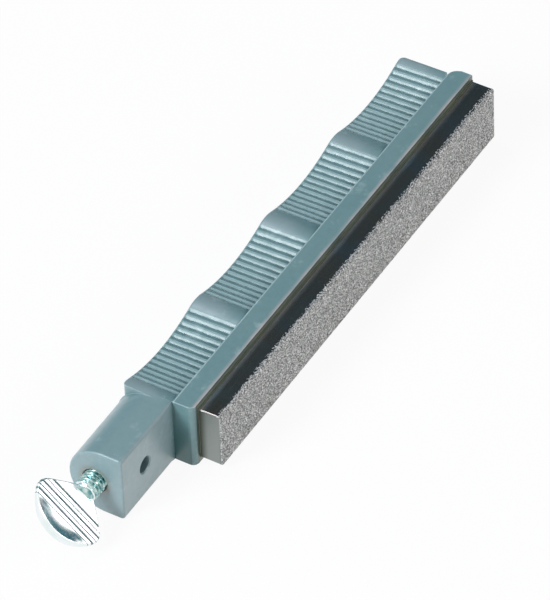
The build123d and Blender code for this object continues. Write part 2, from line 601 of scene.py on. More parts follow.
@dataclass(frozen=True)
class BrightNickel(Finish):
    """Nickel plate on ground steel, left bright: a dark warm mirror with faint grinding lines.

    Attributes:
        back: The bar's back, where the glue's film lies. This and the next are scene places.
        grit: The front, where stray grains lie.
    """

    back: float
    grit: float
    metal_colour: str = "#b3aea4"
    tint_colour: str = "#a6b8bf"
    film_colour: str = "#626d6a"
    grain_colour: str = "#c9c9c9"
    gloss: Ramp = Ramp(0.35, 0.65, 0.17, 0.08)
    matt_roughness: float = 0.6
    matt_metal: Ramp = Ramp(0.0, 1.0, 0.5, 1.0)
    line_mm: float = 0.12
    line_stretch: float = 60.0
    cloud_mm: float = 9.0
    grain_mm: float = 0.16
    film_wander_mm: float = 0.5
    tinted: Ramp = Ramp(0.35, 0.62)
    film_past_back: Ramp = Ramp(-1.0, -0.2, 0.25)
    stray_past_grit: Ramp = Ramp(1.0, 0.0, 0.7)

    def surface(self, add: Adder, place: Socket) -> Node:
        """Add clouds of tint, grinding lines, the glue's film behind and stray grains in front.

        Args:
            add: Adds a node to the material's tree.
            place: The point in the scene's frame at rest, in metres.

        Returns:
            The surface's shader.
        """
        clouds = add("TexNoise", {"Scale": scale(self.cloud_mm), "Detail": 3.0, "Vector": place})
        along = add("Mapping", {"Scale": (1 / self.line_stretch, 1.0, 1.0), "Vector": place})
        lines = add("TexNoise", {"Scale": scale(self.line_mm), "Detail": 2.0, "Vector": along})
        across = add("SeparateXYZ", {0: place}).outputs["Y"]
        wander = add("Math", {
            "operation": "MULTIPLY_ADD", 0: clouds, 1: self.film_wander_mm * MM, 2: across,
        })
        film = add("MapRange", self.film_past_back.past(self.back).of(wander))
        cells = add("TexVoronoi", {"Scale": scale(self.grain_mm), "Vector": place})
        lot = add("SeparateColor", {0: cells.outputs["Color"]})
        chance = add("MapRange", self.stray_past_grit.past(self.grit).of(across))
        stray = add("Math", {"operation": "LESS_THAN", 0: lot, 1: chance})
        matt = add("Math", {"operation": "MAXIMUM", 0: stray, 1: film})
        tone = linear(self.metal_colour)
        for colour, share in (
            (self.tint_colour, add("MapRange", self.tinted.of(clouds))),
            (self.film_colour, film),
            (self.grain_colour, stray),
        ):
            tone = add("Mix", {"data_type": "RGBA", "Factor": share, "A": tone, "B": linear(colour)})
        gloss = add("MapRange", self.gloss.of(lines))
        rough = add("Mix", {"data_type": "FLOAT", "Factor": matt, "A": gloss, "B": self.matt_roughness})
        return add("BsdfPrincipled", {
            "Base Color": tone, "Roughness": rough,
            "Metallic": add("MapRange", self.matt_metal.of(matt)),
            "Normal": add("Bump", {"Strength": 0.05, "Distance": 0.01 * MM, "Height": lines}),
        })


@dataclass(frozen=True)
class SawnNickel(Finish):
    """Nickel plate over a sawn and linished bar end: grey satin with fine upright lines.

    Attributes:
        back: The bar's back, where the glue's film lies, as a scene place.
    """

    back: float
    metal_colour: str = "#868f8d"
    worn_colour: str = "#9b9f9b"
    film_colour: str = "#4d5143"
    gloss: Ramp = Ramp(0.3, 0.7, 0.5, 0.36)
    line_mm: float = 0.15
    line_stretch: float = 25.0
    film_past_back: Ramp = Ramp(-1.8, 0.0, 0.85, soft=True)

    def surface(self, add: Adder, place: Socket) -> Node:
        """Add fine lines that run up the end and the glue's film.

        Args:
            add: Adds a node to the material's tree.
            place: The point in the scene's frame at rest, in metres.

        Returns:
            The surface's shader.
        """
        upright = add("Mapping", {"Scale": (1.0, 1.0, 1 / self.line_stretch), "Vector": place})
        lines = add("TexNoise", {"Scale": scale(self.line_mm), "Detail": 3.0, "Vector": upright})
        across = add("SeparateXYZ", {0: place}).outputs["Y"]
        film = add("MapRange", self.film_past_back.past(self.back).of(across))
        tone = linear(self.metal_colour)
        for colour, share in ((self.worn_colour, lines), (self.film_colour, film)):
            tone = add("Mix", {"data_type": "RGBA", "Factor": share, "A": tone, "B": linear(colour)})
        return add("BsdfPrincipled", {
            "Metallic": 1.0, "Base Color": tone, "Roughness": add("MapRange", self.gloss.of(lines)),
            "Normal": add("Bump", {"Strength": 0.15, "Distance": 0.01 * MM, "Height": lines}),
        })


@dataclass(frozen=True)
class DiamondInNickel(Finish):
    """Diamond grit plated on with matt nickel: dark pits, grey flanks and bright crystal faces.

    The grit of such a stone is about 0.05 mm, too fine to show, so it is drawn at 0.16 mm.
    """

    pit_colour: str = "#373939"
    flank_colour: str = "#959997"
    crystal_colour: str = "#f6f8f6"
    pit_at: float = 0.1
    flank_at: float = 0.52
    crystal_at: float = 0.92
    metal: float = 0.35
    roughness: float = 0.5
    grit_mm: float = 0.16
    cluster_mm: float = 0.3
    cluster_share: float = 0.12

    def surface(self, add: Adder, place: Socket) -> Node:
        """Add random grains, looser clusters and their bump.

        Args:
            add: Adds a node to the material's tree.
            place: The point in the scene's frame at rest, in metres.

        Returns:
            The surface's shader.
        """
        grains = add("TexVoronoi", {"Scale": scale(self.grit_mm), "Vector": place})
        grain = add("SeparateColor", {0: grains.outputs["Color"]})
        clusters = add("TexNoise", {
            "Scale": scale(self.cluster_mm), "Detail": 4.0, "Roughness": 0.7, "Vector": place,
        })
        mixed = add("Mix", {"data_type": "FLOAT", "Factor": self.cluster_share, "A": grain, "B": clusters})
        tones = add("ValToRGB", {0: mixed})
        stops = tones.color_ramp.elements
        stops[0].position, stops[0].color = self.pit_at, linear(self.pit_colour)
        stops[1].position, stops[1].color = self.crystal_at, linear(self.crystal_colour)
        middle = stops.new(self.flank_at)
        middle.color = linear(self.flank_colour)
        return add("BsdfPrincipled", {
            "Metallic": self.metal, "Roughness": self.roughness, "Base Color": tones,
            "Normal": add("Bump", {"Strength": 0.8, "Distance": 0.08 * MM, "Height": mixed}),
        })


@dataclass(frozen=True)
class CuredEpoxy(Finish):
    """Two-part epoxy, squeezed out and cured: dark olive, half glossy, with dust stuck to it."""

    glue_colour: str = "#525c52"
    dust_colour: str = "#78836f"
    roughness: float = 0.4
    blotch_mm: float = 1.5

    def surface(self, add: Adder, place: Socket) -> Node:
        """Add blotches of dust.

        Args:
            add: Adds a node to the material's tree.
            place: The point in the scene's frame at rest, in metres.

        Returns:
            The surface's shader.
        """
        blotches = add("TexNoise", {"Scale": scale(self.blotch_mm), "Detail": 3.0, "Vector": place})
        tone = add("Mix", {
            "data_type": "RGBA", "Factor": blotches,
            "A": linear(self.glue_colour), "B": linear(self.dust_colour),
        })
        return add("BsdfPrincipled", {
            "IOR": 1.55, "Roughness": self.roughness, "Base Color": tone,
            "Normal": add("Bump", {"Strength": 0.4, "Distance": 0.05 * MM, "Height": blotches}),
        })


@dataclass(frozen=True)
class BlueZinc(Finish):
    """Zinc plate with a clear blue passivate on pressed steel: nearly white, with a cyan cast."""

    metal_colour: str = "#f5f8fa"
    cast_colour: str = "#e6f3f1"
    gloss: Ramp = Ramp(0.3, 0.7, 0.23, 0.13)
    cast_mm: float = 2.2
    pit_mm: float = 0.35
    cast: Ramp = Ramp(0.35, 0.65)

    def surface(self, add: Adder, place: Socket) -> Node:
        """Add clouds of the cast and a faint unevenness of the plate.

        Args:
            add: Adds a node to the material's tree.
            place: The point in the scene's frame at rest, in metres.

        Returns:
            The surface's shader.
        """
        clouds = add("TexNoise", {"Scale": scale(self.cast_mm), "Detail": 2.0, "Vector": place})
        pits = add("TexNoise", {"Scale": scale(self.pit_mm), "Detail": 3.0, "Vector": place})
        tone = add("Mix", {
            "data_type": "RGBA", "Factor": add("MapRange", self.cast.of(clouds)),
            "A": linear(self.metal_colour), "B": linear(self.cast_colour),
        })
        return add("BsdfPrincipled", {
            "Metallic": 1.0, "Base Color": tone, "Roughness": add("MapRange", self.gloss.of(pits)),
            "Normal": add("Bump", {"Strength": 0.04, "Distance": 0.01 * MM, "Height": pits}),
        })


def hand_over(piece: Piece, body: Body, slot: Slot, node: str, finishes: Sequence[Finish]) -> None:
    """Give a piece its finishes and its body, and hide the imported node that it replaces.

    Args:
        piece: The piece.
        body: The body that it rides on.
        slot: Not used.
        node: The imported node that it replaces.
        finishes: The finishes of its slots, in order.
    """
    for finish in finishes:
        piece.data.materials.append(finish.make())
    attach(piece, body.value)
    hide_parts(node)


@dataclass
class Holder:
    """The moulded holder: guard plate, grip with finger hollows, and end block.

    Attributes:
        stone: The frame that places the points.
    """

    stone: StoneFrame
    half_height: float = 7.5
    arc_steps: int = 6

    plate_near: float = -1.9
    plate_far: float = 101.6
    plate_front: float = 4.6
    plate_back: float = 9.0
    plate_edge: float = 0.14
    plate_near_corner: float = 1.3
    plate_back_edge: float = 0.22
    plate_far_corner: float = 2.2

    grip_near: float = -2.7
    grip_far: float = 100.1
    grip_back: float = 19.3
    grip_root: float = 7.6
    root_inset: float = 0.2
    root_end: float = 0.1
    first_section: float = 0.3
    grip_step: float = 0.08
    grip_sections: int = 10
    grip_edge: float = 0.3
    grip_end_round: float = 0.9
    grip_end_drop: float = 0.35
    grip_end_run: float = 0.7
    grip_inset_run: float = 2.0
    rise_front: float = -0.15
    rise_back_near: float = 0.3
    rise_back_far: float = -0.05

    crest_radius: float = 6.5
    hollow_depth: float = 2.15
    hollow_pitch: float = 25.4
    first_hollow: float = 10.4
    hollow_count: int = 4
    groove_spans: tuple[tuple[float, float], ...] = ((0.9, 20.7), (26.5, 46.4), (52.8, 72.2), (78.2, 97.4))
    grooves_each: int = 14
    groove_depth: float = 0.38
    groove_fall: float = 1.6
    groove_slant: float = 0.05
    groove_pivot: float = 5.0
    groove_stop: tuple[float, float] = (0.05, 0.4)
    rib_crest: float = 0.4

    block_near: float = -19.9
    block_back: float = 20.6
    block_edge: float = 0.8
    block_end_edge: float = 0.4
    block_fillet: float = 0.2
    block_round_steps: int = 48
    block_first_section: float = 2.0
    block_sections: int = 12
    block_root: float = 0.05

    rod_hole_x: float = -12.0
    rod_hole_radius: float = 1.7
    screw_axis_y: float = 15.0
    screw_bore_radius: float = 2.45
    screw_bore_end: float = -13.0
    mouth: float = 0.25
    beyond_face: float = 1.0
    far_mouth: tuple[float, float] = (-0.6, 0.4)

    def wave(self, x: np.ndarray) -> np.ndarray:
        """Work out the hollows and crests of the grip, without grooves.

        Args:
            x: Places along the grip.

        Returns:
            The grip's half height there.
        """
        half = self.hollow_pitch / 2
        radii = (self.hollow_depth ** 2 + half ** 2) / (2 * self.hollow_depth)
        radius = radii - self.crest_radius
        offset = (x - self.first_hollow + half) % self.hollow_pitch - half
        last = self.first_hollow + (self.hollow_count - 1) * self.hollow_pitch
        offset = np.where(x < self.first_hollow, np.maximum(x - self.first_hollow, -half), offset)
        offset = np.where(x > last, np.minimum(x - last, half), offset)
        reach = radius * half / radii
        bottom = self.half_height - self.hollow_depth + radius
        hollow = bottom - np.sqrt(radius ** 2 - np.clip(offset, -reach, reach) ** 2)
        from_crest = np.clip(half - np.abs(offset), 0, half - reach)
        crest = self.half_height - self.crest_radius + np.sqrt(self.crest_radius ** 2 - from_crest ** 2)
        return np.where(np.abs(offset) < reach, hollow, crest)

    def groove(self, x: np.ndarray) -> np.ndarray:
        """Work out the grooves, which are steep on one side and soft on the other.

        Args:
            x: Places along the grip.

        Returns:
            How deep the grooves are there, below the smooth hollows.
        """
        deep = np.zeros_like(x)
        for first, last in self.groove_spans:
            pitch = (last - first) / (self.grooves_each - 1)
            beyond = x[:, None] - (first + pitch * np.arange(self.grooves_each))
            wall = pitch * np.where(beyond > 0, self.rib_crest, 1 - self.rib_crest)
            close = np.clip(1 - np.abs(beyond) / wall, 0, 1).max(axis=1)
            deep += self.groove_depth * close ** self.groove_fall
        return deep

    def grip_stations(self) -> list[tuple[float, float, float]]:
        """List the grip's sections from the plate to its rounded back.

        Returns:
            For each section, its place, its inset at both ends and its inset at both edges.
        """
        flat_end = self.grip_back - self.grip_end_round
        inside = self.plate_near - self.grip_near + self.root_inset
        stations = [(self.grip_root, inside, 0.0), (self.plate_back + self.root_end, inside, 0.0)]
        first = self.plate_back + self.first_section
        stations += [(y, 0.0, 0.0) for y in np.linspace(first, flat_end, self.grip_sections)]
        for angle in quarter_turn(self.arc_steps)[1:]:
            fall = 1 - math.cos(angle)
            place = flat_end + self.grip_end_round * math.sin(angle)
            stations.append((place, self.grip_end_round * fall, self.grip_edge * fall ** 2))
        return stations

    def make_grip(self) -> Piece:
        """Make the grip from sections that lie one behind the other.

        Returns:
            The grip, which reaches into the plate.
        """
        steps = round((self.grip_far - self.grip_near) / self.grip_step)
        x = np.linspace(self.grip_near, self.grip_far, steps + 1)
        wave = self.wave(x)
        rise_back = np.interp(x, (self.grip_near, self.grip_far), (self.rise_back_near, self.rise_back_far))
        run = self.grip_end_run
        end_drop = self.grip_end_drop * np.clip((x - self.grip_far + run) / run, 0, 1) ** 2
        middle = (self.grip_near + self.grip_far) / 2
        give = self.grip_inset_run
        firm = (self.grip_far - self.grip_near) / 2 - give
        away = np.abs(x - middle)
        tops, bottoms = [], []
        for y, end_inset, edge_inset in self.grip_stations():
            squeezed = np.where(away > firm, firm + (away - firm) * (give - end_inset) / give, away)
            place_x = middle + np.sign(x - middle) * squeezed
            share = (y - self.plate_back) / (self.grip_back - self.plate_back)
            groove = self.groove(x + self.groove_slant * (y - self.grip_back + self.groove_pivot))
            height = wave - groove * float(smooth_step(*self.groove_stop, self.grip_back - y))
            height = height - edge_inset - end_drop * max(share, 0)
            rise = self.rise_front + (rise_back - self.rise_front) * share
            tops.append(np.stack([place_x, np.full_like(x, y), height + rise], axis=1))
            bottoms.append(np.stack([place_x, np.full_like(x, y), -height], axis=1)[::-1])
        draft = Draft()
        rows = draft.add(np.concatenate([np.array(tops), np.array(bottoms)], axis=1))
        draft.skin(rows, closed=True)
        half_row = rows.shape[1] // 2
        for row in (rows[0], rows[-1]):
            draft.skin(np.stack([row[:half_row], row[half_row:][::-1]]))
        return draft.make("grip_solid", self.stone)

    def make_plate(self) -> Piece:
        """Make the guard plate with soft edges and rounder corners at its near and far end.

        Returns:
            The guard plate.
        """
        return rounded_box(
            "plate_solid",
            (self.plate_near, self.plate_front, -self.half_height),
            (self.plate_far, self.plate_back, self.half_height),
            [
                (lambda a, b: a.x > 0 and b.x > 0 and a.y > 0 and b.y > 0, self.plate_far_corner),
                (lambda a, b: a.x < 0 and b.x < 0 and a.y < 0 and b.y < 0, self.plate_near_corner),
                (
                    lambda a, b: a.z == b.z and ((a.y < 0 and b.y < 0) or (a.x < 0 and b.x < 0)),
                    self.plate_edge,
                ),
                (lambda a, b: a.y > 0 and b.y > 0 and a.z == b.z, self.plate_back_edge),
            ],
            self.stone,
            steps=self.arc_steps,
        )

    def block_outline(self) -> tuple[np.ndarray, np.ndarray]:
        """Draw the block's D section, round at the back and with soft corners in front.

        Returns:
            The section's points, and the outward direction at each.
        """
        bend = np.radians(np.linspace(90, -90, self.block_round_steps + 1))
        corner = np.radians(np.linspace(270, 180, self.arc_steps + 1))
        out_back, out_low = (np.stack([np.cos(a), np.sin(a)], axis=1) for a in (bend, corner))
        back = out_back * self.half_height + (self.block_back - self.half_height, 0.0)
        edge = self.block_edge
        low_front = out_low * edge + (self.plate_back + edge, edge - self.half_height)
        flip = (1, -1)
        outline = np.concatenate([back, low_front, low_front[::-1] * flip])
        return outline, np.concatenate([out_back, out_low, out_low[::-1] * flip])

    def make_block(self) -> Piece:
        """Make the end block, with a soft end edge, flared into the plate and the grip.

        Returns:
            The end block.
        """
        outline, outward = self.block_outline()
        turn = quarter_turn(self.arc_steps)
        end, fillet = self.block_end_edge, self.block_fillet
        flare_start = self.grip_near - fillet
        stations = [(self.block_near + end * (1 - math.cos(a)), end * (1 - math.sin(a)), 0.0) for a in turn]
        first = self.block_near + self.block_first_section
        stations += [(x, 0.0, 0.0) for x in np.linspace(first, flare_start, self.block_sections)]
        stations += [(flare_start + fillet * math.sin(a), 0.0, fillet * (1 - math.cos(a))) for a in turn[1:]]
        stations += [(self.plate_near - self.block_root, 0.0, 0.0), (self.plate_near, 0.0, 0.0)]
        sideways = outward * 2 * np.clip(outward[:, :1], 0, 1) * np.abs(outward[:, 1:])
        sections = []
        for x, inset, flare in stations:
            section = outline - outward * inset + sideways * flare
            sections.append(np.concatenate([np.full((len(section), 1), x), section], axis=1))
        draft = Draft()
        draft.tube(np.array(sections))
        return draft.make("block_solid", self.stone)

    def mouth_profile(self, face: float, radius: float) -> list[tuple[float, float]]:
        """List a bore's profile, from outside a face to the end of its rounded mouth.

        Args:
            face: The face's place along the bore.
            radius: The bore's radius.

        Returns:
            Pairs of a place along the bore and a radius.
        """
        profile = [(face - self.beyond_face, radius + self.mouth)]
        for angle in quarter_turn(self.arc_steps - 1):
            profile.append((face + self.mouth * math.sin(angle), radius + self.mouth * (1 - math.sin(angle))))
        return profile

    def make_bores(self) -> list[Piece]:
        """Make the solids that cut the two holes.

        Returns:
            The screw's bore and the guide rod's hole.
        """
        radius = self.screw_bore_radius
        screw = self.mouth_profile(self.block_near, radius) + [(self.screw_bore_end, radius)]
        radius = self.rod_hole_radius
        inner, outer = (self.block_back + past for past in self.far_mouth)
        rod = self.mouth_profile(self.plate_back, radius)
        rod += [(inner, radius), (outer, radius + self.mouth * 2)]
        return [
            turned("screw_bore", screw, (0.0, self.screw_axis_y, 0.0), 0, self.stone),
            turned("rod_hole", rod, (self.rod_hole_x, 0.0, 0.0), 1, self.stone),
        ]

    def build(self) -> Piece:
        """Join the three parts of the moulding into one solid and cut its two holes.

        Returns:
            The holder.
        """
        piece = self.make_plate()
        combine(piece, [self.make_grip(), self.make_block()], "UNION")
        combine(piece, self.make_bores(), "DIFFERENCE")
        piece.name = "moulded_holder"
        smooth(piece, sharp_degrees=38)
        return piece

    def dress(self, piece: Piece) -> None:
        """Give the holder its moulded finish.

        Args:
            piece: The holder.
        """
        near, front, _ = self.stone.place((self.plate_near, self.plate_front, 0.0))
        _, back, top = self.stone.place((0.0, self.plate_back, self.half_height))
        bore = tuple(self.stone.place((self.block_near, self.screw_axis_y, 0.0)))
        finish = MouldedNylon("moulded_nylon", top, near, front, back, bore)
        hand_over(piece, Body.HONE, Slot.PLASTIC, "holder", [finish])


@dataclass
class SteelBar:
    """The plated bar, with bright long sides and satin ends."""

    stone: StoneFrame
    near: float = -0.25
    far: float = 101.45
    front: float = -0.15
    back: float = 4.4
    half_height: float = 6.2
    front_edge: float = 0.45
    side_edge: float = 0.16
    end_edge: float = 0.28
    end_slope: float = 0.9

    def build(self) -> Piece:
        """Make the bar with small rounded edges, larger ones under the grit.

        Returns:
            The bar.
        """
        piece = rounded_box(
            "plated_bar",
            (self.near, self.front, -self.half_height),
            (self.far, self.back, self.half_height),
            [
                (lambda a, b: a.y < 0 and b.y < 0, self.front_edge),
                (lambda a, b: a.x == b.x and a.z == b.z, self.end_edge),
                (lambda a, b: a.y > 0 and b.y > 0, self.side_edge),
            ],
            self.stone,
        )
        smooth(piece, sharp_degrees=40)
        return piece

    def dress(self, piece: Piece) -> None:
        """Give the long sides the bright plate and the ends the satin one.

        Args:
            piece: The bar.
        """
        back, grit = (self.stone.place((0, y, 0))[1] for y in (self.back, self.front))
        finishes = [BrightNickel("bright_nickel", back, grit), SawnNickel("sawn_nickel", back)]
        hand_over(piece, Body.HONE, Slot.NICKEL, "steel_bar", finishes)
        for face in piece.data.polygons:
            face.material_index = 1 if abs(face.normal.x) > self.end_slope else 0


@dataclass
class DiamondLayer:
    """The skin of plated grit on the bar's front, ending raggedly just round its edges."""

    stone: StoneFrame
    near: float = -0.4
    far: float = 101.6
    front: float = -0.3
    half_height: float = 6.35
    edge: float = 0.6
    thickness: float = 0.15
    side_wrap: float = 0.27
    end_wrap: float = 0.3
    ragged: float = 0.07
    grain_step: float = 0.15
    grain_height: float = 0.07
    grain_fall: float = 1.5
    edge_grain: float = 0.8
    wrap_steps: int = 7
    corner_steps: int = 5
    seed: int = 7

    @property
    def columns(self) -> int:
        """How many points the face has along the bar."""
        return round((self.far - self.near - 2 * self.edge) / self.grain_step) + 1

    @property
    def rows(self) -> int:
        """How many points the face has from its lower to its upper edge."""
        return round(2 * (self.half_height - self.edge) / self.grain_step) + 1

    def rim(self) -> tuple[np.ndarray, np.ndarray, np.ndarray]:
        """Follow the rim of the flat face, with a fan of directions at each corner.

        Returns:
            The rim's points, their outward directions and how far the skin wraps there.
        """
        low = np.array([self.near + self.edge, -self.half_height + self.edge])
        high = np.array([self.far - self.edge, self.half_height - self.edge])
        corners = [low, (high[0], low[1]), high, (low[0], high[1])]
        outs = np.array([(0, -1), (1, 0), (0, 1), (-1, 0)], float)
        counts = (self.columns, self.rows, self.columns, self.rows)
        bend = np.radians(np.linspace(0, 90, self.corner_steps + 2)[1:-1])[:, None]
        points, directions, wraps = [], [], []
        for i, (out, count) in enumerate(zip(outs, counts)):
            start, end = np.array(corners[i], float), np.array(corners[(i + 1) % 4], float)
            share = np.linspace(0, 1, count)[:, None]
            points += [start + (end - start) * share, np.tile(end, (self.corner_steps, 1))]
            fan = out * np.cos(bend) + outs[(i + 1) % 4] * np.sin(bend)
            directions += [np.tile(out, (count, 1)), fan]
            wraps.append(np.full(count, self.end_wrap if out[0] else self.side_wrap))
            wraps.append(np.full(self.corner_steps, (self.end_wrap + self.side_wrap) / 2))
        return np.concatenate(points), np.concatenate(directions), np.concatenate(wraps)

    def wrapped(
        self, points: np.ndarray, directions: np.ndarray, travel: np.ndarray, depth: float
    ) -> tuple[np.ndarray, np.ndarray]:
        """Walk over the rounded edge from the rim.

        Args:
            points: The rim points.
            directions: The outward directions there.
            travel: How far the walk goes on the outer surface.
            depth: How far below the outer surface it goes.

        Returns:
            The points reached and the surface's outward normals there.
        """
        bend = np.minimum(travel / self.edge, math.pi / 2)
        straight = np.maximum(travel - self.edge * math.pi / 2, 0)
        back = self.front + self.edge - (self.edge - depth) * np.cos(bend) + straight
        flat = points + directions * ((self.edge - depth) * np.sin(bend))[:, None]
        slope = directions * np.sin(bend)[:, None]
        return np.insert(flat, 1, back, axis=1), np.insert(slope, 1, -np.cos(bend), axis=1)

    def build(self) -> Piece:
        """Make the skin, with every grain of its mesh pushed out by a random height.

        Returns:
            The skin of grit.
        """
        random = np.random.default_rng(self.seed)
        grid = np.zeros((self.rows, self.columns, 3))
        grid[..., 0] = np.linspace(self.near + self.edge, self.far - self.edge, self.columns)
        half = self.half_height - self.edge
        grid[..., 2] = np.linspace(-half, half, self.rows)[:, None]
        grid[..., 1] = self.front - self.grain_height * random.random(grid.shape[:2]) ** self.grain_fall
        draft = Draft()
        face = draft.add(grid)
        draft.skin(face)
        fan = self.corner_steps
        ring = np.concatenate([
            face[0], np.repeat(face[0, -1], fan), face[:, -1], np.repeat(face[-1, -1], fan),
            face[-1, ::-1], np.repeat(face[-1, 0], fan), face[::-1, 0], np.repeat(face[0, 0], fan),
        ])
        points, directions, wraps = self.rim()
        ends = wraps + 2 * self.ragged * (random.random(len(wraps)) - 0.5)
        arc_part = np.arccos(np.clip(1 - ends / self.edge, 0, 1)) * self.edge
        travel = np.where(ends < self.edge, arc_part, self.edge * (math.pi / 2 - 1) + ends)
        outer = [ring]
        for step in range(1, self.wrap_steps + 1):
            places, normals = self.wrapped(points, directions, travel * step / self.wrap_steps, 0.0)
            grains = self.grain_height * random.random(len(places))[:, None] ** self.grain_fall
            outer.append(draft.add(places + normals * grains * self.edge_grain))
        inner = [outer[-1]]
        for step in range(self.wrap_steps, -1, -1):
            places, _ = self.wrapped(points, directions, travel * step / self.wrap_steps, self.thickness)
            inner.append(draft.add(places))
        draft.skin(np.array(outer), closed=True)
        draft.skin(np.array(inner), closed=True)
        draft.cap(inner[-1])
        piece = draft.make("diamond_skin", self.stone)
        piece.data.shade_smooth()
        return piece

    def dress(self, piece: Piece) -> None:
        """Give the skin its grit."""
        hand_over(piece, Body.HONE, Slot.GRIT, "diamond_layer", [DiamondInNickel("diamond_in_nickel")])


@dataclass
class AdhesiveBed:
    """The glue between the bar and the guard plate, with an uneven rim close to the bar's edge."""

    stone: StoneFrame
    near: float = -0.3
    far: float = 101.6
    half_height: float = 6.35
    front: float = 4.4
    back: float = 4.6
    inset: float = 0.08
    uneven: float = 0.14
    inward: float = 0.6
    bulge: float = 0.06
    sections: int = 5
    step: float = 0.4
    seed: int = 11

    def build(self) -> Piece:
        """Make the bed as a thin slab whose rim wanders in and out.

        Returns:
            The bed.
        """
        random = np.random.default_rng(self.seed)
        half = np.array([(self.far - self.near) / 2 - self.inset, self.half_height - self.inset])
        middle = np.array([(self.near + self.far) / 2, 0.0])
        columns, rows = (round(side / self.step) for side in (self.far - self.near, 2 * self.half_height))
        x = np.linspace(self.near + self.inset, self.far - self.inset, columns)
        z = np.linspace(-half[1], half[1], rows)
        low, high = (np.stack([x, np.full_like(x, end)], axis=1) for end in (z[0], z[-1]))
        near, far = (np.stack([np.full_like(z, end), z], axis=1)[1:-1] for end in (x[0], x[-1]))
        loop = np.concatenate([low, far, high[::-1], near[::-1]])
        wander = self.uneven * (random.random(len(loop)) - self.inward)[:, None]
        layers = []
        for share in np.linspace(0.0, 1.0, self.sections):
            bulge = self.bulge * math.sin(math.pi * share)
            pushed = middle + (loop - middle) * (1 + (wander + bulge) / half)
            layers.append(np.insert(pushed, 1, self.front + (self.back - self.front) * share, axis=1))
        draft = Draft()
        draft.tube(np.array(layers))
        piece = draft.make("glue_bed", self.stone)
        smooth(piece, sharp_degrees=50)
        return piece

    def dress(self, piece: Piece) -> None:
        """Give the bed its cured glue."""
        hand_over(piece, Body.HONE, Slot.ADHESIVE, "adhesive_bed", [CuredEpoxy("cured_epoxy")])


